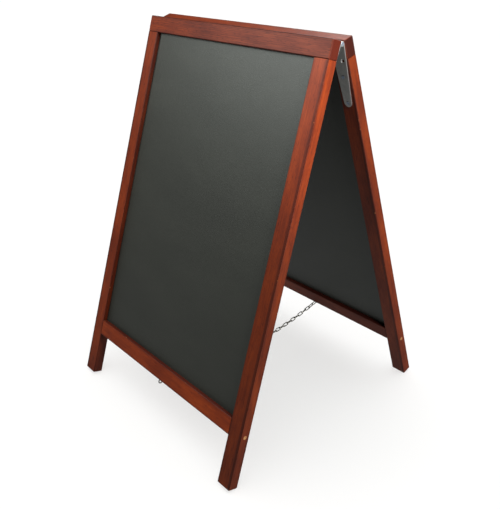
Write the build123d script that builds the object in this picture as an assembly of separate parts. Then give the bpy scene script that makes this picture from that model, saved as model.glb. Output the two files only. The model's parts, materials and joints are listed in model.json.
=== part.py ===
from build123d import *

import math
import os

# A free-standing folding sandwich board: two identical grooved timber frames, each holding a
# chalkboard panel, joined at the top by two strap hinges and kept from opening further by a
# chain.
#
# Row frame, in millimetres: +Z up, X across the board, the front writing face looks towards -Y.
# The origin is on the floor, midway between the four feet.

# --- timber frame -------------------------------------------------------------------------
frame_width = 550.0
frame_length = 872.0  # top of the top rail to the leg ends, along the leg
timber_thickness = 23.0
stile_width = 35.0
top_rail_height = 36.0
bottom_rail_height = 36.0
bottom_rail_rise = 102.0  # leg end to the underside of the bottom rail
edge_radius = 2.0  # rounded edges of every timber
joint_edge_radius = 0.6  # broken edge of a stile's end where it meets the top rail
half_angle = 17.8  # lean of each frame when the board stands open

# --- chalkboard panel and its groove ------------------------------------------------------
panel_thickness = 4.0
groove_depth = 8.0
groove_side_clearance = 0.1
panel_edge_clearance = 1.0

# --- joinery ------------------------------------------------------------------------------
dowel_diameter = 8.0
dowel_length = 30.0
dowel_spacing = 12.0
dowel_end_chamfer = 1.0
joinery_clearance = 0.05  # on the radius of every dowel, plug and screw hole
hole_bottom_clearance = 1.0
rail_screw_rise = 10.0  # above the underside of the bottom rail
rail_screw_length = 50.0
rail_screw_shank = 4.5
rail_screw_head = 7.8
plug_diameter = 8.0
plug_length = 7.0

# --- strap hinge --------------------------------------------------------------------------
pin_diameter = 5.0
pin_clearance = 0.05
pin_head_diameter = 7.0
pin_head_thickness = 1.0
leaf_thickness = 2.0
barrel_length = 32.5
barrel_face_clearance = 0.4  # between the barrel and the timber's inner face
knuckle_count = 3
knuckle_gap = 0.3
leaf_length = 129.5  # pin axis to the rounded tip
leaf_tip_radius = 8.8
leaf_hole_drops = (35.5, 67.5, 121.0)  # pin axis to each hole
leaf_hole_offsets = (6.0, 0.0, 0.0)  # towards the outer edge of the board
leaf_hole_diameter = 4.6
screwed_holes = (1, 2)  # the first hole lies too near the end of the stile to take a screw
notch_clearance = 0.5  # between a leaf and the other leaf's knuckle
leaf_screw_length = 16.0
leaf_screw_shank = 4.0
leaf_screw_head = 8.0
countersink_clearance = 0.15

# --- chain and its screw eyes -------------------------------------------------------------
eye_wire = 2.5
eye_radius = 4.5  # ring's centre line
eye_drop = 8.0  # underside of the bottom rail to the ring's centre
eye_shank_in_rail = 14.0
eye_opening_angle = 22.0  # gap between the ring's free end and its shank
link_wire = 2.2
link_width = 8.5
link_inner_length = 13.8
link_clearance = 0.2
least_slack = 0.006  # least spare chain, as a share of its span
segments_per_half = 3
twist_per_link = 15.0  # extra roll from one link to the next where the chain has turned
twist_links = 4
front_twist_start = 9
back_twist_start = 2

# --- values that follow from those above ---------------------------------------------------
bore_radius = pin_diameter / 2 + pin_clearance
barrel_radius = bore_radius + leaf_thickness
inner_face = -barrel_radius - barrel_face_clearance
outer_face = inner_face - timber_thickness
mid_face = (inner_face + outer_face) / 2
frame_top = barrel_radius  # the barrel is level with the rails' tops when the board is shut
frame_bottom = frame_top - frame_length
stile_top = frame_top - top_rail_height
rail_underside = frame_bottom + bottom_rail_rise
rail_topside = rail_underside + bottom_rail_height
stile_x = (frame_width - stile_width) / 2
opening_width = frame_width - 2 * stile_width
lean_sin = math.sin(math.radians(half_angle))
lean_cos = math.cos(math.radians(half_angle))
foot_rounding_lift = edge_radius * (lean_cos + lean_sin - 1)
pin_height = -frame_bottom * lean_cos + inner_face * lean_sin - foot_rounding_lift


STANDING = (Align.CENTER, Align.CENTER, Align.MIN)


def on_front(shape):
    """Carries a shape from the shut, upright hinge frame to the open front frame."""
    return Pos(0, 0, pin_height) * Rot(-half_angle, 0, 0) * shape


def on_back(shape):
    """The back frame is the front one turned about, so every frame piece is made once."""
    return Pos(0, 0, pin_height) * Rot(half_angle, 0, 0) * Rot(0, 0, 180) * shape


# --- fasteners ------------------------------------------------------------------------------
def screw_profile(head_radius, shank_radius, length, grow=0.0):
    """Half section of a countersunk screw, head upwards, its top at the origin."""
    land = 0.3
    cone = head_radius - shank_radius
    tip = 2.5 * shank_radius
    with BuildSketch(Plane.XZ) as section:
        with BuildLine():
            Polyline(
                (0, 0),
                (head_radius + grow, 0),
                (head_radius + grow, -land),
                (shank_radius + grow, -land - cone),
                (shank_radius + grow, -length + tip - grow),
                (0, -length - grow),
                close=True,
            )
        make_face()
    return revolve(section.sketch, Axis.Z)


def wood_screw(head_diameter, shank_diameter, length):
    """Countersunk screw with a cross recess, pointing down."""
    body = screw_profile(head_diameter / 2, shank_diameter / 2, length)
    slot_length = 0.6 * head_diameter
    slot_width = 0.16 * head_diameter
    slot_depth = 0.2 * head_diameter
    slot = Box(slot_length, slot_width, 2 * slot_depth)
    return body - slot - Rot(0, 0, 90) * slot


def screw_hole(head_diameter, shank_diameter, length):
    """The room that a screw takes, with clearance all round."""
    return screw_profile(head_diameter / 2, shank_diameter / 2, length, joinery_clearance)


def dowel(diameter, length, chamfer_size):
    rod = Cylinder(diameter / 2, length)
    return chamfer(rod.edges(), chamfer_size)


def dowel_hole(diameter, length, bottom_clearance):
    return Cylinder(diameter / 2 + joinery_clearance, length + 2 * bottom_clearance)


# --- where the joinery lies, in the shut hinge frame ------------------------------------------
def top_dowel_places():
    """Two dowels stand in each stile's end, centred on the wood outside the groove."""
    solid_middle = frame_width / 2 - (stile_width - groove_depth) / 2
    for side in (-1, 1):
        for step in (-0.5, 0.5):
            yield Pos(side * (solid_middle + step * dowel_spacing), mid_face, stile_top)


def rail_dowel_places():
    """One dowel lies in each end of the bottom rail, above the screw."""
    height = rail_underside + rail_screw_rise + dowel_spacing
    for side in (-1, 1):
        yield Pos(side * opening_width / 2, mid_face, height) * Rot(0, 90, 0)


def rail_screw_places():
    """Screws run inwards through the stiles, their heads at the bottom of the plugged holes."""
    height = rail_underside + rail_screw_rise
    for side in (-1, 1):
        turn = Rot(0, 90 * side, 0)
        yield Pos(side * (frame_width / 2 - plug_length), mid_face, height) * turn


def plug_places():
    height = rail_underside + rail_screw_rise
    for side in (-1, 1):
        turn = Rot(0, 90 * side, 0)
        yield Pos(side * (frame_width / 2 - plug_length / 2), mid_face, height) * turn


def leaf_screw_places(side):
    """Screws of one hinge, driven from inside the board, heads flush with the leaf."""
    for index in screwed_holes:
        x = side * (stile_x + leaf_hole_offsets[index])
        top = inner_face + leaf_thickness
        yield Pos(x, top, -leaf_hole_drops[index]) * Rot(-90, 0, 0)


def joinery_holes():
    """Everything that is drilled out of the timbers, as one list of cutters."""
    cutters = []
    for place in [*top_dowel_places(), *rail_dowel_places()]:
        cutters.append(place * dowel_hole(dowel_diameter, dowel_length, hole_bottom_clearance))
    for place in rail_screw_places():
        cutters.append(place * screw_hole(rail_screw_head, rail_screw_shank, rail_screw_length))
    for place in plug_places():
        cutters.append(place * dowel_hole(plug_diameter, plug_length, 0.0))
    for side in (-1, 1):
        for place in leaf_screw_places(side):
            hole = screw_hole(leaf_screw_head, leaf_screw_shank, leaf_screw_length)
            cutters.append(place * hole)
    eye_hole_depth = eye_shank_in_rail + hole_bottom_clearance
    eye_hole = Cylinder(eye_wire / 2 + joinery_clearance, eye_hole_depth, align=STANDING)
    cutters.append(Pos(0, mid_face, rail_underside) * eye_hole)
    return cutters


# --- timbers and panel ------------------------------------------------------------------------
def placed_bar(x_low, x_high, z_low, z_high):
    """A square-edged timber between two sides and two heights."""
    bar = Box(x_high - x_low, timber_thickness, z_high - z_low)
    return Pos((x_low + x_high) / 2, mid_face, (z_low + z_high) / 2) * bar


def stile(side):
    """An upright, rounded all over except for its top end, which meets the rail."""
    ends = sorted((side * opening_width / 2, side * frame_width / 2))
    bar = placed_bar(ends[0], ends[1], frame_bottom, stile_top)
    bar = fillet(bar.edges().filter_by(Axis.Z), edge_radius)
    bar = fillet(bar.edges().group_by(Axis.Z)[0], edge_radius)
    return fillet(bar.edges().group_by(Axis.Z)[-1], joint_edge_radius)


def top_rail():
    """The top rail caps both stiles and is rounded all over."""
    bar = placed_bar(-frame_width / 2, frame_width / 2, stile_top, frame_top)
    return fillet(bar.edges(), edge_radius)


def bottom_rail():
    """The bottom rail fits between the stiles, its ends square."""
    bar = placed_bar(-opening_width / 2, opening_width / 2, rail_underside, rail_topside)
    return fillet(bar.edges().filter_by(Axis.X), edge_radius)


def panel_block(width_growth, thickness_growth):
    """The panel's block, grown for its groove."""
    width = opening_width + 2 * (groove_depth - panel_edge_clearance) + 2 * width_growth
    low = rail_topside - groove_depth + panel_edge_clearance - width_growth
    high = stile_top + groove_depth - panel_edge_clearance + width_growth
    thickness = panel_thickness + 2 * thickness_growth
    return Pos(0, mid_face, (low + high) / 2) * Box(width, thickness, high - low)


def frame_timbers():
    """The four timbers of one frame, grooved for the panel and drilled for the joinery."""
    bars = {
        "top_rail": top_rail(),
        "bottom_rail": bottom_rail(),
        "left_stile": stile(-1),
        "right_stile": stile(1),
    }
    groove = panel_block(panel_edge_clearance, groove_side_clearance)
    holes = joinery_holes()
    for name, bar in bars.items():
        bar = bar - groove
        for hole in holes:
            if hole.bounding_box().overlaps(bar.bounding_box()):
                bar = bar - hole
        bars[name] = bar
    return bars


# --- strap hinge --------------------------------------------------------------------------------
def knuckle_span(index):
    """Low and high end of a knuckle along the barrel, measured from the barrel's middle."""
    pitch = barrel_length / knuckle_count
    low = -barrel_length / 2 + index * pitch
    trim_low = knuckle_gap / 2 if index > 0 else 0.0
    trim_high = knuckle_gap / 2 if index < knuckle_count - 1 else 0.0
    return low + trim_low, low + pitch - trim_high


def along_barrel(low, high, radius):
    return Pos((low + high) / 2, 0, 0) * Rot(0, 90, 0) * Cylinder(radius, high - low)


def hinge_leaf(side, own_knuckles):
    """A tapered leaf with its share of the knuckles, for the left (-1) or right (1) hinge."""
    tip_drop = leaf_length - leaf_tip_radius
    half_root = barrel_length / 2
    with BuildSketch(Plane.XZ) as outline:
        with BuildLine():
            Polyline(
                (-half_root, 0),
                (half_root, 0),
                (leaf_tip_radius, -tip_drop),
                (-leaf_tip_radius, -tip_drop),
                close=True,
            )
        make_face()
        with Locations((0, -tip_drop)):
            Circle(leaf_tip_radius)
    # The sketch's normal points towards -Y, so the plate grows from its top face to the wood.
    plate = Pos(0, inner_face + leaf_thickness, 0) * extrude(outline.sketch, leaf_thickness)
    for index in range(knuckle_count):
        low, high = knuckle_span(index)
        if index not in own_knuckles:
            notch = along_barrel(
                low - knuckle_gap, high + knuckle_gap, barrel_radius + notch_clearance
            )
            plate = plate - notch
    for index in own_knuckles:
        low, high = knuckle_span(index)
        plate = plate + along_barrel(low, high, barrel_radius)
    plate = plate - along_barrel(-barrel_length, barrel_length, bore_radius)
    countersink = screw_profile(
        leaf_screw_head / 2, leaf_hole_diameter / 2, leaf_screw_length, countersink_clearance
    )
    for drop, offset in zip(leaf_hole_drops, leaf_hole_offsets):
        place = Pos(side * offset, inner_face + leaf_thickness, -drop) * Rot(-90, 0, 0)
        plate = plate - place * countersink
    return Pos(side * stile_x, 0, 0) * plate


def hinge_pin(side):
    """A headed rivet pin, its shank a running fit in the knuckles."""
    half_pin = barrel_length / 2 + pin_clearance + pin_head_thickness
    pin = along_barrel(-half_pin, half_pin, pin_diameter / 2)
    head = along_barrel(half_pin - pin_head_thickness, half_pin, pin_head_diameter / 2)
    pin = pin + head + Rot(0, 0, 180) * head
    return Pos(side * stile_x, 0, 0) * pin


# --- chain --------------------------------------------------------------------------------------
link_pitch = link_inner_length - link_clearance
link_tip = (link_inner_length + link_wire) / 2  # link's centre to its end wire's centre
eye_height = rail_underside - eye_drop
eye_center = on_front(Pos(0, mid_face, eye_height)).position
half_span = -eye_center.Y
# The first link's end lies inside the ring and pulls on the ring's wire.
first_reach = eye_radius - eye_wire / 2 - link_clearance + link_inner_length / 2
lead_in = first_reach - link_pitch / 2
links_per_half = math.ceil(
    (half_span * (1 + least_slack) - lead_in - link_pitch / 2) / link_pitch
)


def chain_link():
    """A straight-sided link lying flat, its length along Y."""
    radius = (link_width - link_wire) / 2
    straight = link_inner_length + 2 * link_wire - link_width
    side = Rot(90, 0, 0) * Cylinder(link_wire / 2, straight)
    link = Pos(radius, 0, 0) * side + Pos(-radius, 0, 0) * side
    bend = Torus(radius, link_wire / 2)
    keep = Box(4 * radius, 2 * radius, 2 * link_wire, align=(Align.CENTER, Align.MIN, Align.CENTER))
    half_bend = bend & keep
    link = link + Pos(0, straight / 2, 0) * half_bend
    return link + Pos(0, -straight / 2, 0) * Rot(0, 0, 180) * half_bend


def half_chain_reach(turn):
    """Level distance from the eye to the chain's middle when each link turns by this angle."""
    cosines = sum(math.cos(turn * k) for k in range(1, links_per_half + 1))
    return lead_in * math.cos(turn * links_per_half) + link_pitch * (cosines + 0.5)


def sagging_turn():
    """The turn from link to link that makes the chain just span the two eyes."""
    low, high = 0.0, math.pi / 2 / links_per_half
    for _ in range(40):
        middle = (low + high) / 2
        if half_chain_reach(middle) > half_span:
            low = middle
        else:
            high = middle
    return middle


def half_chain_places():
    """Place of each link from the front eye to the one beside the centre link, at rest,
    and the height of the centre link."""
    turn_per_link = sagging_turn()
    y, z = eye_center.Y, eye_center.Z
    places = []
    for k in range(1, links_per_half + 1):
        fall = turn_per_link * (links_per_half + 1 - k)
        step = first_reach if k == 1 else link_pitch / 2
        y += step * math.cos(fall)
        z -= step * math.sin(fall)
        places.append((y, z, math.degrees(fall)))
        y += link_pitch / 2 * math.cos(fall)
        z -= link_pitch / 2 * math.sin(fall)
    return places, z


def link_roll(k, twist_start, sense):
    """Each link is a quarter turn from the last, with a gentle twist over a few links."""
    twisted = min(max(k - twist_start, 0), twist_links)
    return 90.0 * (k - 1) + sense * twist_per_link * twisted


def segment_bounds():
    """First and last link number of each segment of a half chain."""
    share = links_per_half / segments_per_half
    cuts = [round(i * share) for i in range(segments_per_half + 1)]
    return [(low + 1, high) for low, high in zip(cuts, cuts[1:])]


def chain_segments(twist_start, sense):
    places, _ = half_chain_places()
    link = chain_link()
    found = []
    for low, high in segment_bounds():
        links = []
        for k in range(low, high + 1):
            y, z, fall = places[k - 1]
            turn = Rot(-fall, 0, 0) * Rot(0, link_roll(k, twist_start, sense), 0)
            links.append(Pos(0, y, z) * turn * link)
        found.append(Compound(links))
    return found


def center_link():
    _, z = half_chain_places()
    roll = link_roll(links_per_half + 1, front_twist_start, 1)
    return Pos(0, 0, z) * Rot(0, roll, 0) * chain_link()


def screw_eye():
    """A wire bent to an open ring on a straight shank that is screwed up into the rail."""
    wire = eye_wire / 2
    ring = Torus(eye_radius, wire, major_angle=360 - eye_opening_angle)
    ring = Rot(0, 90, 0) * ring  # the ring stands in the YZ plane and starts at its lowest point
    ring = Rot(180, 0, 0) * ring
    shank_length = eye_drop - eye_radius + eye_shank_in_rail
    shank = Pos(0, 0, eye_radius) * Cylinder(wire, shank_length, align=STANDING)
    shank = chamfer(shank.edges().group_by(Axis.Z)[-1], wire * 0.6)
    return Pos(0, mid_face, eye_height) * (ring + shank)


# --- the whole board ----------------------------------------------------------------------------
def frame_pieces():
    """Every piece of one frame, in the shut hinge frame, by its plain name."""
    pieces = frame_timbers()
    pieces["chalkboard"] = panel_block(0.0, 0.0)
    pieces["corner_dowels"] = Compound(
        [
            place * dowel(dowel_diameter, dowel_length, dowel_end_chamfer)
            for place in [*top_dowel_places(), *rail_dowel_places()]
        ]
    )
    pieces["rail_screws"] = Compound(
        [
            place * wood_screw(rail_screw_head, rail_screw_shank, rail_screw_length)
            for place in rail_screw_places()
        ]
    )
    pieces["screw_plugs"] = Compound(
        [place * Cylinder(plug_diameter / 2, plug_length) for place in plug_places()]
    )
    pieces["hinge_screws"] = Compound(
        [
            place * wood_screw(leaf_screw_head, leaf_screw_shank, leaf_screw_length)
            for side in (-1, 1)
            for place in leaf_screw_places(side)
        ]
    )
    pieces["screw_eye"] = screw_eye()
    return pieces


def board_pieces():
    """Every node of the board, where it lies when the board stands open."""
    nodes = {}
    for name, piece in frame_pieces().items():
        nodes["front_" + name] = on_front(piece)
        nodes["back_" + name] = on_back(piece)
    outer_knuckles = [0, knuckle_count - 1]
    middle_knuckles = list(range(1, knuckle_count - 1))
    for side, word in ((-1, "left"), (1, "right")):
        nodes[f"front_{word}_hinge_leaf"] = on_front(hinge_leaf(side, outer_knuckles))
        # The back frame is turned about, so its left hinge is made on the right.
        nodes[f"back_{word}_hinge_leaf"] = on_back(hinge_leaf(-side, middle_knuckles))
        nodes[f"{word}_hinge_pin"] = on_front(hinge_pin(side))
    half_turn = Rot(0, 0, 180)
    for number, segment in enumerate(chain_segments(front_twist_start, 1), start=1):
        nodes[f"chain_front_{number}"] = segment
    for number, segment in enumerate(chain_segments(back_twist_start, -1), start=1):
        nodes[f"chain_back_{number}"] = half_turn * segment
    nodes["chain_center_link"] = center_link()
    return nodes


os.makedirs("parts", exist_ok=True)
for name, piece in board_pieces().items():
    export_step(piece, f"parts/{name}.step")
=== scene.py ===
import json
import math

import bmesh
import bpy
import numpy as np
from mathutils import Matrix, Vector


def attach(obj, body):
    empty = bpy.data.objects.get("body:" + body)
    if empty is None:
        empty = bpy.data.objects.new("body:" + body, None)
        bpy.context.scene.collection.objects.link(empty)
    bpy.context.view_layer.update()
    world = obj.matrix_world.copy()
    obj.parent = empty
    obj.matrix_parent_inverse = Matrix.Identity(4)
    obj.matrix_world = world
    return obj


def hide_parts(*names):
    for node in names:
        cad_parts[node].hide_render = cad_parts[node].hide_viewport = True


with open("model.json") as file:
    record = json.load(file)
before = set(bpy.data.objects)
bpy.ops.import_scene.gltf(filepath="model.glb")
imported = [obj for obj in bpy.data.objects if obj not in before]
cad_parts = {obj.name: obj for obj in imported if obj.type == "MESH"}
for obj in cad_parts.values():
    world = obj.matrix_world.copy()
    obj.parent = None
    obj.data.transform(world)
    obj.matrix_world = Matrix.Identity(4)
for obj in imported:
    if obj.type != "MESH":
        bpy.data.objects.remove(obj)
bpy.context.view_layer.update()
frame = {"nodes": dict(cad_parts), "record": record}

# --- sizes shared by the pieces, in metres ---------------------------------------------------
MM = 0.001
hinge = next(j for j in frame["record"]["behaviour"]["joints"] if j["name"] == "top_hinge")
pin_height = hinge["pos_m"][2]
lean = math.radians(-hinge["range_deg"][0] / 2)
face_offset = 4.95 * MM  # middle of the shut board to the inner face of a timber

# Board-local directions: X across the board, Y through it, Z up the leg from the hinge pin.
to_local = {
    "front": Matrix.Rotation(lean, 4, "X") @ Matrix.Translation((0, 0, -pin_height)),
    "back": Matrix.Rotation(math.pi, 4, "Z")
    @ Matrix.Rotation(-lean, 4, "X")
    @ Matrix.Translation((0, 0, -pin_height)),
}


def linear(hex_colour):
    """An sRGB hex colour as linear red, green, blue and alpha."""
    channels = [int(hex_colour[i : i + 2], 16) / 255 for i in (1, 3, 5)]
    return [c / 12.92 if c <= 0.04045 else ((c + 0.055) / 1.055) ** 2.4 for c in channels] + [1.0]


def add(tree, kind, inputs=None, stops=None, **settings):
    """Adds a node with its settings; an input is a value, or another node's output to link."""
    made = tree.nodes.new(kind)
    for key, value in settings.items():
        setattr(made, key, value)
    for key, value in (inputs or {}).items():
        socket = made.inputs[key]
        if isinstance(value, bpy.types.NodeSocket):
            tree.links.new(value, socket)
        else:
            socket.default_value = value
    if stops:
        ramp = made.color_ramp
        while len(ramp.elements) < len(stops):
            ramp.elements.new(0.5)
        for element, (place, colour) in zip(ramp.elements, stops):
            element.position = place
            element.color = linear(colour) if isinstance(colour, str) else (colour,) * 3 + (1,)
    return made


def new_material(name):
    material = bpy.data.materials.new(name)
    material.use_nodes = True
    tree = material.node_tree
    tree.nodes.clear()
    return material, tree


def finish_material(tree, shader):
    add(tree, "ShaderNodeOutputMaterial", {"Surface": shader.outputs["BSDF"]})


# --- materials -------------------------------------------------------------------------------
def board_turn(side, along_x):
    """The move from the row frame to a board's own frame, where Z runs with its grain."""
    turn = to_local[side]
    return Matrix.Rotation(math.pi / 2, 4, "Y") @ turn if along_x else turn


def board_box(node_name, turn):
    """Middle and half size of a timber in its own frame."""
    points = [turn @ v.co for v in frame["nodes"][node_name].data.vertices]
    low = Vector([min(p[i] for p in points) for i in range(3)])
    high = Vector([max(p[i] for p in points) for i in range(3)])
    return (low + high) / 2, (high - low) / 2


def board_coordinates(tree, side, along_x):
    """Object coordinates turned so that Z runs with the grain of this board."""
    place = add(tree, "ShaderNodeTexCoord").outputs
    turn = board_turn(side, along_x)
    angles = (lean, 0.0, 0.0) if side == "front" else (-lean, 0.0, math.pi)
    if along_x:
        quarter = math.pi / 2 if side == "front" else -math.pi / 2
        angles = (angles[0], quarter, angles[2])
    local = add(
        tree,
        "ShaderNodeMapping",
        {"Vector": place["Object"], "Location": turn.translation, "Rotation": angles},
    )
    normal = add(
        tree,
        "ShaderNodeMapping",
        {"Vector": place["Normal"], "Rotation": angles},
        vector_type="NORMAL",
    )
    return local.outputs["Vector"], normal.outputs["Vector"]


def stained_hardwood(name, timber, side, along_x, seed, tone):
    """Beech with a wiped mahogany stain under satin lacquer: growth rings that show as faint
    lines on the faces and arcs on the ends, short dark ray flecks, uneven stain, ends that drank
    more of it, darker edges and tiny chips that show bare wood. Painted shade darkens the lip
    beside the panel, and the lightness along each board and on its ends is partly painted light."""
    near_hinge, near_foot, ends = tone
    ring_pitch = 3.2 * MM
    material, tree = new_material(name)
    local, normal = board_coordinates(tree, side, along_x)
    shift = (0.35 * seed, 0.21 * seed, 0.9 * seed)
    own = add(tree, "ShaderNodeVectorMath", {0: local, 1: shift}, operation="ADD").outputs[0]

    # Slow wander of the grain, then rings round a pith outside the board.
    drift_place = add(tree, "ShaderNodeMapping", {"Vector": own, "Scale": (9, 9, 1.6)})
    drift = add(
        tree,
        "ShaderNodeTexNoise",
        {"Vector": drift_place.outputs[0], "Scale": 1.0, "Detail": 2.0, "Roughness": 0.5},
    )
    wander = add(
        tree, "ShaderNodeMath", {0: drift.outputs["Fac"], 1: 0.022}, operation="MULTIPLY"
    )
    pith = (0.055 + 0.012 * math.sin(7 * seed), 0.045 + 0.02 * math.cos(5 * seed), 0)
    from_pith = add(tree, "ShaderNodeVectorMath", {0: local, 1: pith}, operation="ADD")
    flat = add(
        tree, "ShaderNodeVectorMath", {0: from_pith.outputs[0], 1: (1, 1, 0.012)}, operation="MULTIPLY"
    )
    radius = add(tree, "ShaderNodeVectorMath", {0: flat.outputs[0]}, operation="LENGTH")
    waved = add(
        tree, "ShaderNodeMath", {0: radius.outputs["Value"], 1: wander.outputs[0]}, operation="ADD"
    )
    rings = add(
        tree, "ShaderNodeMath", {0: waved.outputs[0], 1: 2 * math.pi / ring_pitch}, operation="MULTIPLY"
    )
    ring_wave = add(tree, "ShaderNodeMath", {0: rings.outputs[0]}, operation="SINE")
    ring = add(
        tree,
        "ShaderNodeMapRange",
        {"Value": ring_wave.outputs[0], "From Min": -0.4, "From Max": 1.0},
        interpolation_type="SMOOTHSTEP",
    ).outputs["Result"]

    # Fibres about 2 mm wide and 50 mm long, as coarse as they need to be to show.
    fibre_place = add(tree, "ShaderNodeMapping", {"Vector": own, "Scale": (520, 520, 20)})
    fibre = add(
        tree,
        "ShaderNodeTexNoise",
        {"Vector": fibre_place.outputs[0], "Scale": 1.0, "Detail": 4.0, "Roughness": 0.62},
    ).outputs["Fac"]

    # Ray flecks, really 0.4 by 3 mm, drawn 1 by 8 mm so that they show.
    fleck_place = add(tree, "ShaderNodeMapping", {"Vector": own, "Scale": (760, 760, 100)})
    fleck_noise = add(
        tree,
        "ShaderNodeTexNoise",
        {"Vector": fleck_place.outputs[0], "Scale": 1.0, "Detail": 1.0, "Roughness": 0.4},
    )
    fleck = add(
        tree,
        "ShaderNodeMapRange",
        {"Value": fleck_noise.outputs["Fac"], "From Min": 0.6, "From Max": 0.74},
    ).outputs["Result"]

    # Uneven stain: cloudy patches 60 to 150 mm long.
    cloud_place = add(tree, "ShaderNodeMapping", {"Vector": own, "Scale": (24, 24, 8)})
    cloud = add(
        tree,
        "ShaderNodeTexNoise",
        {"Vector": cloud_place.outputs[0], "Scale": 1.0, "Detail": 4.0, "Roughness": 0.6},
    ).outputs["Fac"]

    # How thickly the stain lies, from 0 for thin to 1 for thick.
    grain = add(tree, "ShaderNodeMath", {0: ring, 1: 0.06}, operation="MULTIPLY")
    grain = add(
        tree,
        "ShaderNodeMath",
        {0: fibre, 1: 0.44, 2: grain.outputs[0]},
        operation="MULTIPLY_ADD",
    )
    grain = add(
        tree,
        "ShaderNodeMath",
        {0: cloud, 1: 0.56, 2: grain.outputs[0]},
        operation="MULTIPLY_ADD",
    )
    depth = add(
        tree,
        "ShaderNodeMath",
        {0: fleck, 1: 0.2, 2: grain.outputs[0]},
        operation="MULTIPLY_ADD",
    ).outputs[0]
    stain = add(
        tree,
        "ShaderNodeValToRGB",
        {"Fac": depth},
        stops=[
            (0.3, "#a04311"),
            (0.47, "#86340f"),
            (0.6, "#6e270c"),
            (0.82, "#491709"),
        ],
    )

    # Darker along the rounded edges, and a little in a band beside them.
    middle, half = board_box(timber, board_turn(side, along_x))
    centred = add(tree, "ShaderNodeVectorMath", {0: local, 1: middle}, operation="SUBTRACT")
    spread = add(tree, "ShaderNodeVectorMath", {0: centred.outputs[0]}, operation="ABSOLUTE")
    inset = add(
        tree, "ShaderNodeVectorMath", {0: half, 1: spread.outputs[0]}, operation="SUBTRACT"
    )
    sides = add(tree, "ShaderNodeSeparateXYZ", {"Vector": inset.outputs[0]})
    from_edge = add(
        tree, "ShaderNodeMath", {0: sides.outputs["X"], 1: sides.outputs["Y"]}, operation="MAXIMUM"
    ).outputs[0]
    line = add(
        tree,
        "ShaderNodeMapRange",
        {"Value": from_edge, "From Min": 0.9 * MM, "From Max": 2.4 * MM, "To Min": 0.75, "To Max": 0.0},
        interpolation_type="SMOOTHSTEP",
    ).outputs["Result"]
    band = add(
        tree,
        "ShaderNodeMapRange",
        {"Value": from_edge, "From Min": 3 * MM, "From Max": 8 * MM, "To Min": 0.16, "To Max": 0.0},
        interpolation_type="SMOOTHSTEP",
    ).outputs["Result"]
    dark_edges_and_painted_shade = add(tree, "ShaderNodeMath", {0: line, 1: band}, operation="MAXIMUM").outputs[0]

    # Painted shade: the lip beside the panel is darkened in colour to stand in for the shadow of the
    # recess. The outer margin of a stile's writing face is darker too.
    facing_way = add(tree, "ShaderNodeSeparateXYZ", {"Vector": normal}).outputs
    outer = math.copysign(1.0, middle.x) if not along_x else (1.0 if "top" in timber else -1.0)
    lip = add(
        tree,
        "ShaderNodeMapRange",
        {
            "Value": facing_way["X"],
            "From Min": -0.5 * outer,
            "From Max": -0.9 * outer,
            "To Max": 0.85 if along_x else 0.6,
        },
    ).outputs["Result"]
    dark_edges_and_painted_shade = add(tree, "ShaderNodeMath", {0: dark_edges_and_painted_shade, 1: lip}, operation="MAXIMUM").outputs[0]
    if not along_x:
        flat_face = add(tree, "ShaderNodeMath", {0: facing_way["Y"]}, operation="ABSOLUTE")
        margin = add(
            tree,
            "ShaderNodeMapRange",
            {
                "Value": add(tree, "ShaderNodeSeparateXYZ", {"Vector": local}).outputs["X"],
                "From Min": middle.x + outer * (half.x - 7 * MM),
                "From Max": middle.x + outer * (half.x - 4 * MM),
                "To Max": 0.6,
            },
        )
        margin = add(
            tree,
            "ShaderNodeMath",
            {0: margin.outputs["Result"], 1: flat_face.outputs[0]},
            operation="MULTIPLY",
        ).outputs[0]
        dark_edges_and_painted_shade = add(
            tree, "ShaderNodeMath", {0: dark_edges_and_painted_shade, 1: margin}, operation="MAXIMUM"
        ).outputs[0]
    # Mixes the dark colour in by this mask: the darker edges, plus the painted shade on the lip.
    edges_and_painted_shade = add(
        tree,
        "ShaderNodeMix",
        {"Factor": dark_edges_and_painted_shade, 6: stain.outputs["Color"], 7: linear("#2e0d0a")},
        data_type="RGBA",
    )

    # The ends of the fibres drink the stain and go dark, and there the rings show as arcs.
    facing = add(tree, "ShaderNodeMath", {0: facing_way["Z"]}, operation="ABSOLUTE")
    end = add(
        tree,
        "ShaderNodeMapRange",
        {"Value": facing.outputs[0], "From Min": 0.55, "From Max": 0.9},
        interpolation_type="SMOOTHSTEP",
    ).outputs["Result"]
    # ends scales these end colours per timber: the back top rail's darker ends are painted shade and
    # the front top rail's lighter ones painted light.
    early, late = ([c * ends for c in linear(code)[:3]] + [1.0] for code in ("#62200d", "#481409"))
    end_grain = add(
        tree, "ShaderNodeMix", {"Factor": ring, 6: early, 7: late}, data_type="RGBA"
    )
    end_dark = add(
        tree,
        "ShaderNodeMix",
        {"Factor": end, 6: edges_and_painted_shade.outputs[2], 7: end_grain.outputs[2]},
        data_type="RGBA",
    )

    # Tiny chips knocked out of the edges show the bare wood.
    chip_noise = add(
        tree,
        "ShaderNodeTexNoise",
        {"Vector": own, "Scale": 210.0, "Detail": 2.0, "Roughness": 0.6},
    )
    chip = add(
        tree,
        "ShaderNodeMapRange",
        {"Value": chip_noise.outputs["Fac"], "From Min": 0.7, "From Max": 0.74},
    )
    at_edge = add(
        tree,
        "ShaderNodeMapRange",
        {"Value": from_edge, "From Min": 2.2 * MM, "From Max": 1.6 * MM},
    )
    chip = add(
        tree,
        "ShaderNodeMath",
        {0: chip.outputs["Result"], 1: at_edge.outputs["Result"]},
        operation="MULTIPLY",
    ).outputs[0]
    chipped = add(
        tree,
        "ShaderNodeMix",
        {"Factor": chip, 6: end_dark.outputs[2], 7: linear("#ae6a3e")},
        data_type="RGBA",
    )

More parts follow.
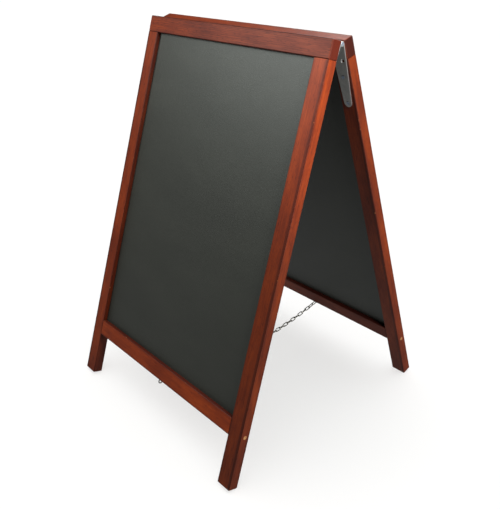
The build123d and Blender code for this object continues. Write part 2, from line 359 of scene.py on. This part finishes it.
    # Lighter or darker near the hinge than near the foot. This is partly the stain's own variation and
    # # partly painted light and shade: the fall of the light from the top to the foot is in the colour.
    along_board = add(tree, "ShaderNodeSeparateXYZ", {"Vector": local}).outputs["Z"]
    tone_here = add(
        tree,
        "ShaderNodeMapRange",
        {
            "Value": along_board,
            "From Min": -470 * MM,
            "From Max": -230 * MM,
            "To Min": near_foot,
            "To Max": near_hinge,
        },
        interpolation_type="SMOOTHSTEP",
    ).outputs["Result"]
    toned = add(
        tree, "ShaderNodeHueSaturation", {"Color": chipped.outputs[2], "Value": tone_here}
    )

    # Lacquer: satin, a little duller where the fibres stand up.
    gloss = add(
        tree,
        "ShaderNodeMapRange",
        {"Value": depth, "From Min": 0.2, "From Max": 0.9, "To Min": 0.44, "To Max": 0.58},
    ).outputs["Result"]
    height = add(
        tree, "ShaderNodeMath", {0: fleck, 1: -0.6, 2: fibre}, operation="MULTIPLY_ADD"
    ).outputs[0]
    bump = add(
        tree,
        "ShaderNodeBump",
        {"Height": height, "Strength": 0.15, "Distance": 0.12 * MM},
    ).outputs["Normal"]
    shader = add(
        tree,
        "ShaderNodeBsdfPrincipled",
        {
            "Base Color": toned.outputs["Color"],
            "Roughness": gloss,
            "IOR": 1.5,
            "Specular IOR Level": 0.16,
            "Normal": bump,
        },
    )
    finish_material(tree, shader)
    return material


def chalkboard_laminate(name, side):
    """Matte slate-coloured laminate on fibreboard: an even, very fine grain that breaks up the
    sheen, and broad faint streaks left by wiping."""
    material, tree = new_material(name)
    local, _ = board_coordinates(tree, side, False)
    grit = add(
        tree,
        "ShaderNodeTexNoise",
        {"Vector": local, "Scale": 640.0, "Detail": 2.0, "Roughness": 0.7},
    ).outputs["Fac"]
    wipe_place = add(
        tree, "ShaderNodeMapping", {"Vector": local, "Rotation": (0, 0.5, 0), "Scale": (4, 4, 14)}
    )
    wipe = add(
        tree,
        "ShaderNodeTexNoise",
        {"Vector": wipe_place.outputs[0], "Scale": 1.0, "Detail": 5.0, "Roughness": 0.6},
    ).outputs["Fac"]
    mixed = add(tree, "ShaderNodeMath", {0: grit, 1: 0.65}, operation="MULTIPLY")
    mixed = add(
        tree, "ShaderNodeMath", {0: wipe, 1: 0.3, 2: mixed.outputs[0]}, operation="MULTIPLY_ADD"
    )
    colour = add(
        tree,
        "ShaderNodeValToRGB",
        {"Fac": mixed.outputs[0]},
        stops=[(0.25, "#1b1c18"), (0.5, "#262722"), (0.75, "#33342e")],
    )
    rough = add(
        tree,
        "ShaderNodeMapRange",
        {"Value": grit, "From Min": 0.3, "From Max": 0.7, "To Min": 0.38, "To Max": 0.6},
    ).outputs["Result"]
    bump = add(
        tree, "ShaderNodeBump", {"Height": grit, "Strength": 0.8, "Distance": 0.4 * MM}
    ).outputs["Normal"]
    shader = add(
        tree,
        "ShaderNodeBsdfPrincipled",
        {
            "Base Color": colour.outputs["Color"],
            "Roughness": rough,
            "IOR": 1.48,
            "Specular Tint": (0.92, 1.0, 0.94, 1.0),
            "Normal": bump,
        },
    )
    finish_material(tree, shader)
    return material


def zinc_plated_steel(name, light, dark, rough_low, rough_high, grain_mm):
    """Pressed steel with a thin zinc plate: grey, softly blotched, with fine rolling marks."""
    material, tree = new_material(name)
    place = add(tree, "ShaderNodeTexCoord").outputs["Object"]
    blotch = add(
        tree,
        "ShaderNodeTexNoise",
        {"Vector": place, "Scale": 110.0, "Detail": 4.0, "Roughness": 0.6},
    ).outputs["Fac"]
    marks_place = add(
        tree,
        "ShaderNodeMapping",
        {"Vector": place, "Scale": (1 / (grain_mm * MM), 260, 60)},
    )
    marks = add(
        tree,
        "ShaderNodeTexNoise",
        {"Vector": marks_place.outputs[0], "Scale": 1.0, "Detail": 2.0, "Roughness": 0.5},
    ).outputs["Fac"]
    mixed = add(tree, "ShaderNodeMath", {0: marks, 1: 0.35}, operation="MULTIPLY")
    mixed = add(
        tree, "ShaderNodeMath", {0: blotch, 1: 0.65, 2: mixed.outputs[0]}, operation="MULTIPLY_ADD"
    ).outputs[0]
    colour = add(
        tree, "ShaderNodeValToRGB", {"Fac": mixed}, stops=[(0.35, dark), (0.65, light)]
    )
    rough = add(
        tree,
        "ShaderNodeMapRange",
        {
            "Value": mixed,
            "From Min": 0.3,
            "From Max": 0.7,
            "To Min": rough_high,
            "To Max": rough_low,
        },
    ).outputs["Result"]
    bump = add(
        tree, "ShaderNodeBump", {"Height": marks, "Strength": 0.15, "Distance": 0.05 * MM}
    ).outputs["Normal"]
    shader = add(
        tree,
        "ShaderNodeBsdfPrincipled",
        {
            "Base Color": colour.outputs["Color"],
            "Metallic": 1.0,
            "Roughness": rough,
            "Normal": bump,
        },
    )
    finish_material(tree, shader)
    return material


def pale_birch(name):
    """Unstained birch plug or dowel: straw-coloured, with fine darker pores."""
    material, tree = new_material(name)
    place = add(tree, "ShaderNodeTexCoord").outputs["Object"]
    pores = add(
        tree,
        "ShaderNodeTexNoise",
        {"Vector": place, "Scale": 1400.0, "Detail": 2.0, "Roughness": 0.6},
    ).outputs["Fac"]
    bands = add(
        tree,
        "ShaderNodeTexNoise",
        {"Vector": place, "Scale": 320.0, "Detail": 2.0, "Roughness": 0.5},
    ).outputs["Fac"]
    mixed = add(tree, "ShaderNodeMath", {0: pores, 1: 0.5}, operation="MULTIPLY")
    mixed = add(
        tree, "ShaderNodeMath", {0: bands, 1: 0.5, 2: mixed.outputs[0]}, operation="MULTIPLY_ADD"
    ).outputs[0]
    colour = add(
        tree,
        "ShaderNodeValToRGB",
        {"Fac": mixed},
        stops=[(0.32, "#6d3f22"), (0.5, "#a8723f"), (0.7, "#c99a64")],
    )
    bump = add(
        tree, "ShaderNodeBump", {"Height": pores, "Strength": 0.3, "Distance": 0.08 * MM}
    ).outputs["Normal"]
    shader = add(
        tree,
        "ShaderNodeBsdfPrincipled",
        {"Base Color": colour.outputs["Color"], "Roughness": 0.6, "Normal": bump},
    )
    finish_material(tree, shader)
    return material


def give(node_name, material):
    """The CAD piece keeps its shape and takes this material."""
    piece = frame["nodes"][node_name]
    piece.data.materials.clear()
    piece.data.materials.append(material)


hinge_zinc = zinc_plated_steel("dull_zinc_strap", "#cfd0cc", "#b6b7b4", 0.42, 0.5, 0.5)
screw_zinc = zinc_plated_steel("bright_zinc_screw", "#e6effb", "#c3d1e4", 0.24, 0.36, 0.4)
chain_zinc = zinc_plated_steel("zinc_chain", "#a8a59c", "#716d65", 0.25, 0.4, 0.6)
yellow_zinc = zinc_plated_steel("yellow_zinc_screw", "#cdb877", "#9f8a4c", 0.25, 0.38, 0.4)
birch = pale_birch("pale_birch")

# How light each timber is: towards its top, towards its foot, on its ends. These are partly the
# # stain's own variation and partly painted light and shade: the fall from the top to the foot and
# # the dark ends of the back top rail are how the light falls.
tones = {
    "front_top_rail": (0.58, 0.58, 1.15),
    "front_bottom_rail": (0.95, 0.95, 1.0),
    "front_left_stile": (0.66, 0.74, 1.0),
    "front_right_stile": (0.95, 0.53, 1.0),
    "back_top_rail": (0.62, 0.62, 0.5),
    "back_bottom_rail": (0.62, 0.62, 1.0),
    "back_left_stile": (0.6, 0.7, 1.0),
    "back_right_stile": (0.66, 0.62, 1.0),
}
for seed, (timber, tone) in enumerate(tones.items(), start=1):
    side = timber.split("_")[0]
    stain = stained_hardwood("mahogany_" + timber, timber, side, "rail" in timber, seed, tone)
    give(timber, stain)
for side in ("front", "back"):
    give(side + "_chalkboard", chalkboard_laminate("slate_laminate_" + side, side))
    give(side + "_corner_dowels", birch)
    give(side + "_screw_plugs", birch)
    give(side + "_rail_screws", yellow_zinc)
    give(side + "_hinge_screws", screw_zinc)
    give(side + "_screw_eye", chain_zinc)
    give(side + "_left_hinge_leaf", hinge_zinc)
    give(side + "_right_hinge_leaf", hinge_zinc)
for node_name in frame["nodes"]:
    if node_name.startswith("chain_"):
        give(node_name, chain_zinc)
    if node_name.endswith("_hinge_pin"):
        give(node_name, screw_zinc)


# --- the chain's links and the hinge screws, made again in finer detail -------------------------
def loose_places(node_name):
    """Middle and own axes (longest, middling, shortest) of each loose solid in a CAD node."""
    shell = bmesh.new()
    shell.from_mesh(frame["nodes"][node_name].data)
    bmesh.ops.remove_doubles(shell, verts=shell.verts, dist=0.01 * MM)
    waiting = set(shell.verts)
    places = []
    for first in list(shell.verts):
        if first not in waiting:
            continue
        waiting.remove(first)
        queue = [first]
        solid = []
        while queue:
            corner = queue.pop()
            solid.append(tuple(corner.co))
            for edge in corner.link_edges:
                other = edge.other_vert(corner)
                if other in waiting:
                    waiting.remove(other)
                    queue.append(other)
        points = np.array(sorted(solid))
        middle = (points.max(axis=0) + points.min(axis=0)) / 2
        _, _, axes = np.linalg.svd(points - points.mean(axis=0), full_matrices=False)
        # An axis may come out either way round, so its largest part is made positive.
        axes = [axis * np.sign(axis[np.abs(axis).argmax()]) for axis in axes]
        places.append((Vector(middle), [Vector(axis) for axis in axes]))
    shell.free()
    return sorted(places, key=lambda place: tuple(round(c, 5) for c in place[0]))


def placed_points(name, places):
    """One point for each copy, with the turn it needs as an attribute."""
    mesh = bpy.data.meshes.new(name)
    mesh.from_pydata([middle for middle, _ in places], [], [])
    turns = mesh.attributes.new("turn", "FLOAT_VECTOR", "POINT")
    for turn, (_, euler) in zip(turns.data, places):
        turn.vector = euler
    made = bpy.data.objects.new(name, mesh)
    bpy.context.scene.collection.objects.link(made)
    return made


def group_with_inputs(name, inputs):
    """An empty geometry tree with a mesh in, a mesh out and the named inputs."""
    tree = bpy.data.node_groups.new(name, "GeometryNodeTree")
    tree.interface.new_socket("Points", in_out="INPUT", socket_type="NodeSocketGeometry")
    for label, kind, value in inputs:
        socket = tree.interface.new_socket(label, in_out="INPUT", socket_type=kind)
        if value is not None:
            socket.default_value = value
    tree.interface.new_socket("Mesh", in_out="OUTPUT", socket_type="NodeSocketGeometry")
    return tree, tree.nodes.new("NodeGroupInput").outputs


def copies_on_points(tree, given, piece):
    """Puts a copy of the piece on every point, turned as that point says."""
    turn = add(
        tree, "GeometryNodeInputNamedAttribute", {"Name": "turn"}, data_type="FLOAT_VECTOR"
    )
    rotation = add(tree, "FunctionNodeEulerToRotation", {"Euler": turn.outputs["Attribute"]})
    copies = add(
        tree,
        "GeometryNodeInstanceOnPoints",
        {
            "Points": given["Points"],
            "Instance": piece,
            "Rotation": rotation.outputs["Rotation"],
        },
    )
    real = add(tree, "GeometryNodeRealizeInstances", {"Geometry": copies.outputs["Instances"]})
    dressed = add(
        tree,
        "GeometryNodeSetMaterial",
        {"Geometry": real.outputs["Geometry"], "Material": given["Material"]},
    )
    add(tree, "NodeGroupOutput", {"Mesh": dressed.outputs["Geometry"]})


def wire_link_tree():
    """A link bent from round wire, its ends butted and welded half way along one side."""
    tree, given = group_with_inputs(
        "wire_links",
        [
            ("Wire", "NodeSocketFloat", 2.2 * MM),
            ("Width", "NodeSocketFloat", 8.5 * MM),
            ("Length", "NodeSocketFloat", 18.2 * MM),
            ("Weld swell", "NodeSocketFloat", 0.12),
            ("Weld length", "NodeSocketFloat", 1.6 * MM),
            ("Material", "NodeSocketMaterial", None),
        ],
    )
    across = add(tree, "ShaderNodeMath", {0: given["Width"], 1: given["Wire"]}, operation="SUBTRACT")
    along = add(tree, "ShaderNodeMath", {0: given["Length"], 1: given["Wire"]}, operation="SUBTRACT")
    bend = add(tree, "ShaderNodeMath", {0: across.outputs[0], 1: 0.4999}, operation="MULTIPLY")
    outline = add(
        tree,
        "GeometryNodeCurvePrimitiveQuadrilateral",
        {"Width": across.outputs[0], "Height": along.outputs[0]},
    )
    rounded = add(
        tree,
        "GeometryNodeFilletCurve",
        {"Curve": outline.outputs["Curve"], "Count": 10, "Radius": bend.outputs[0]},
        mode="POLY",
    )
    centre_line = add(
        tree, "GeometryNodeResampleCurve", {"Curve": rounded.outputs["Curve"], "Count": 72}
    )
    here = add(
        tree, "ShaderNodeSeparateXYZ", {"Vector": add(tree, "GeometryNodeInputPosition").outputs[0]}
    ).outputs
    from_middle = add(tree, "ShaderNodeMath", {0: here["Y"]}, operation="ABSOLUTE")
    swell = add(
        tree,
        "ShaderNodeMapRange",
        {
            "Value": from_middle.outputs[0],
            "From Min": given["Weld length"],
            "From Max": 0.0,
            "To Min": 0.0,
            "To Max": given["Weld swell"],
        },
        interpolation_type="SMOOTHSTEP",
    )
    welded_side = add(tree, "ShaderNodeMath", {0: here["X"], 1: 0.0}, operation="GREATER_THAN")
    scale = add(
        tree,
        "ShaderNodeMath",
        {0: swell.outputs["Result"], 1: welded_side.outputs[0], 2: 1.0},
        operation="MULTIPLY_ADD",
    )
    wire_radius = add(tree, "ShaderNodeMath", {0: given["Wire"], 1: 0.5}, operation="MULTIPLY")
    section = add(
        tree, "GeometryNodeCurvePrimitiveCircle", {"Resolution": 14, "Radius": wire_radius.outputs[0]}
    )
    link = add(
        tree,
        "GeometryNodeCurveToMesh",
        {
            "Curve": centre_line.outputs["Curve"],
            "Profile Curve": section.outputs["Curve"],
            "Scale": scale.outputs[0],
        },
    )
    smooth = add(tree, "GeometryNodeSetShadeSmooth", {"Geometry": link.outputs["Mesh"]})
    copies_on_points(tree, given, smooth.outputs["Geometry"])
    return tree


def screw_tree():
    """Copies of one screw on the points."""
    tree, given = group_with_inputs(
        "screws", [("Screw", "NodeSocketObject", None), ("Material", "NodeSocketMaterial", None)]
    )
    screw = add(tree, "GeometryNodeObjectInfo", {"Object": given["Screw"]})
    copies_on_points(tree, given, screw.outputs["Geometry"])
    return tree


def made_by_nodes(name, points, tree, values, node_name, body):
    """Runs a geometry tree on the points and keeps its result as a plain piece."""
    modifier = points.modifiers.new("made", "NODES")
    modifier.node_group = tree
    for item in tree.interface.items_tree:
        if item.in_out == "INPUT" and item.name in values:
            modifier[item.identifier] = values[item.name]
    depsgraph = bpy.context.evaluated_depsgraph_get()
    mesh = bpy.data.meshes.new_from_object(points.evaluated_get(depsgraph), depsgraph=depsgraph)
    bpy.data.objects.remove(points)
    piece = bpy.data.objects.new(name, mesh)
    bpy.context.scene.collection.objects.link(piece)
    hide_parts(node_name)
    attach(piece, body)


def ring_of(shell, radius, height, count):
    turns = (2 * math.pi * k / count for k in range(count))
    return [shell.verts.new((radius * math.cos(a), radius * math.sin(a), height)) for a in turns]


def countersunk_screw():
    """A 4 by 16 mm wood screw, head up: a flat head with a tapered cross recess, a cone that
    sits in the strap, and a threaded shank that draws to a point."""
    head = 4.0 * MM
    shank = 2.0 * MM
    bevel = 0.12 * MM
    land = 0.3 * MM
    cone = 2 * MM
    neck = 0.4 * MM
    pitch = 1.8 * MM
    root = 1.45 * MM
    tip_start = -12.0 * MM
    thread_end = -15.0 * MM
    tip = -16 * MM
    sides = 40
    shell = bmesh.new()
    profile = [(head - bevel, 0.0), (head, -bevel), (head, -land), (shank, -land - cone)]
    depth = -land - cone - neck
    while depth > thread_end:
        taper = min(1.0, max(0.12, 1 - (tip_start - depth) / (3.4 * MM)))
        profile.append((root * taper, depth))
        profile.append((shank * taper, depth - pitch / 2))
        depth -= pitch
    rings = [ring_of(shell, radius, height, sides) for radius, height in profile]
    for upper, lower in zip(rings, rings[1:]):
        for k in range(sides):
            n = (k + 1) % sides
            shell.faces.new((upper[n], upper[k], lower[k], lower[n]))
    point = shell.verts.new((0, 0, tip))
    for k in range(sides):
        shell.faces.new((rings[-1][(k + 1) % sides], rings[-1][k], point))

    def cross(arm, width, height):
        """Outline of the cross recess, counter-clockwise."""
        quarter = [(arm, -width), (arm, width), (width, width)]
        corners = []
        for turn in range(4):
            for x, y in quarter:
                for _ in range(turn):
                    x, y = -y, x
                corners.append(shell.verts.new((x, y, height)))
        return corners

    mouth = cross(2.4 * MM, 0.55 * MM, 0.0)
    floor_of_recess = cross(1.0 * MM, 0.35 * MM, -1.7 * MM)
    cross_corners = len(mouth)
    for k in range(cross_corners):
        n = (k + 1) % cross_corners
        shell.faces.new((mouth[k], mouth[n], floor_of_recess[n], floor_of_recess[k]))
    shell.faces.new(floor_of_recess)
    rim = [shell.edges.get((rings[0][k], rings[0][(k + 1) % sides])) for k in range(sides)]
    rim += [shell.edges.get((mouth[k], mouth[(k + 1) % cross_corners])) for k in range(cross_corners)]
    bmesh.ops.triangle_fill(shell, use_beauty=True, use_dissolve=False, edges=rim)
    bmesh.ops.recalc_face_normals(shell, faces=shell.faces)
    mesh = bpy.data.meshes.new("countersunk_screw")
    shell.to_mesh(mesh)
    shell.free()
    return bpy.data.objects.new("countersunk_screw", mesh)


links = wire_link_tree()
for node_name in sorted(frame["nodes"]):
    if node_name.startswith("chain_"):
        places = []
        for middle, (length_way, width_way, _) in loose_places(node_name):
            through = width_way.cross(length_way).normalized()
            turn = Matrix((width_way, length_way, through)).transposed()
            places.append((middle, turn.to_euler()))
        points = placed_points(node_name + "_points", places)
        values = {"Material": chain_zinc}
        made_by_nodes(
            node_name + "_links", points, links, values, node_name, node_name
        )

screw = countersunk_screw()
screws = screw_tree()
leaf_thickness = 2 * MM
first_spin = 0.3
spin_step = 0.7
for side in ("front", "back"):
    to_row = to_local[side].inverted()
    places = []
    for count, (middle, _) in enumerate(loose_places(side + "_hinge_screws")):
        local = to_local[side] @ middle
        seat = to_row @ Vector((local.x, -face_offset + leaf_thickness, local.z))
        spin = Matrix.Rotation(spin_step * count + first_spin, 3, "Z")
        turn = to_row.to_3x3() @ Matrix.Rotation(-math.pi / 2, 3, "X") @ spin
        places.append((seat, turn.to_euler()))
    points = placed_points(side + "_screw_points", places)
    values = {"Screw": screw, "Material": screw_zinc}
    made_by_nodes(
        side + "_cross_head_screws",
        points,
        screws,
        values,
        side + "_hinge_screws",
        side + "_frame",
    )


# --- floor, light and camera -----------------------------------------------------------------
reach = 30
floor_mesh = bpy.data.meshes.new("studio_floor")
floor_corners = [(-reach, -reach, 0), (reach, -reach, 0), (reach, reach, 0), (-reach, reach, 0)]
floor_mesh.from_pydata(floor_corners, [], [(0, 1, 2, 3)])
floor = bpy.data.objects.new("studio_floor", floor_mesh)
bpy.context.scene.collection.objects.link(floor)
paper, tree = new_material("white_paper")
finish_material(
    tree,
    add(tree, "ShaderNodeBsdfPrincipled", {"Base Color": linear("#f4f4f3"), "Roughness": 0.9}),
)
floor_mesh.materials.append(paper)
floor.visible_diffuse = False
floor.visible_glossy = False

# The paper and the board are lit apart: one collection holds the paper alone, the other bars it.
paper_only = bpy.data.collections.new("paper_only")
paper_only.objects.link(floor)
all_but_paper = bpy.data.collections.new("all_but_paper")
all_but_paper.objects.link(floor)
all_but_paper.collection_objects[0].light_linking.link_state = "EXCLUDE"

# A dim room, brighter below the horizon than above it, behind a white backdrop.
below = 0.43
above = 0.06
world = bpy.data.worlds.new("studio")
bpy.context.scene.world = world
bpy.context.scene.view_settings.view_transform = "Standard"
world.use_nodes = True
tree = world.node_tree
tree.nodes.clear()
sky = add(tree, "ShaderNodeTexCoord").outputs["Generated"]
height = add(tree, "ShaderNodeSeparateXYZ", {"Vector": sky}).outputs["Z"]
room = add(
    tree,
    "ShaderNodeMapRange",
    {"Value": height, "From Min": -0.15, "From Max": 0.15, "To Min": below, "To Max": above},
).outputs["Result"]
backdrop = add(tree, "ShaderNodeLightPath").outputs["Is Camera Ray"]
seen = add(
    tree, "ShaderNodeMix", {"Factor": backdrop, 2: room, 3: 1.0}, data_type="FLOAT"
).outputs[0]
room_light = add(tree, "ShaderNodeBackground", {"Color": (1, 1, 1, 1), "Strength": seen})
add(tree, "ShaderNodeOutputWorld", {"Surface": room_light.outputs[0]})


def lamp_of(light, receivers):
    """Puts a light in the scene that falls only on the receivers."""
    lamp = bpy.data.objects.new(light.name, light)
    bpy.context.scene.collection.objects.link(lamp)
    lamp.light_linking.receiver_collection = receivers
    return lamp


softboxes = {
    "side_light": ((0.9, -0.12, 1.15), (0.27, 0, 0.6), 0.35, 16),
    "low_side_light": ((1.5, 0.1, 0.35), (0.27, 0, 0.2), 0.4, 7),
    "sheen_light": ((-0.5, -0.85, 1.35), (0.15, 0, 0.75), 0.6, 18),
    "back_light": ((-0.3, 0.95, 1.65), (0, 0.1, 0.6), 0.8, 25),
}
for name, (place, target, size, power) in softboxes.items():
    light = bpy.data.lights.new(name, "AREA")
    light.size = size
    light.energy = power
    lamp = lamp_of(light, all_but_paper)
    lamp.location = place
    direction = Vector(target) - Vector(place)
    lamp.rotation_euler = direction.to_track_quat("-Z", "Y").to_euler()
    lamp.visible_camera = False

# Two broad suns over the paper alone keep it pale while the board keeps its own light. One of
# them casts no shadow, so the board's shadow on the paper stays faint.
for name, energy, blockers in (
    ("paper_light", 3.2, paper_only),
    ("paper_shadow_light", 0.32, None),
):
    sun = bpy.data.lights.new(name, "SUN")
    sun.energy = energy
    sun.angle = math.radians(90)
    lamp = lamp_of(sun, paper_only)
    lamp.light_linking.blocker_collection = blockers

picture_height = 509
sensor = 36
eye = Vector((1.0510, -0.9122, 1.0108))
azimuth, elevation, roll = (math.radians(a) for a in (49.312, 21.856, -1.357))
back = Vector(
    (
        math.sin(azimuth) * math.cos(elevation),
        -math.cos(azimuth) * math.cos(elevation),
        math.sin(elevation),
    )
)
right = Vector((math.cos(azimuth), math.sin(azimuth), 0))
up = back.cross(right)
right, up = (
    math.cos(roll) * right + math.sin(roll) * up,
    -math.sin(roll) * right + math.cos(roll) * up,
)
camera_data = bpy.data.cameras.new("camera")
camera = bpy.data.objects.new("camera", camera_data)
bpy.context.scene.collection.objects.link(camera)
camera.matrix_world = Matrix(
    (
        (right.x, up.x, back.x, eye.x),
        (right.y, up.y, back.y, eye.y),
        (right.z, up.z, back.z, eye.z),
        (0, 0, 0, 1),
    )
)
camera_data.sensor_width = sensor
camera_data.lens = 670.69 * sensor / picture_height
camera_data.shift_x = 10 / picture_height
camera_data.shift_y = -54.5 / picture_height
bpy.context.scene.camera = camera
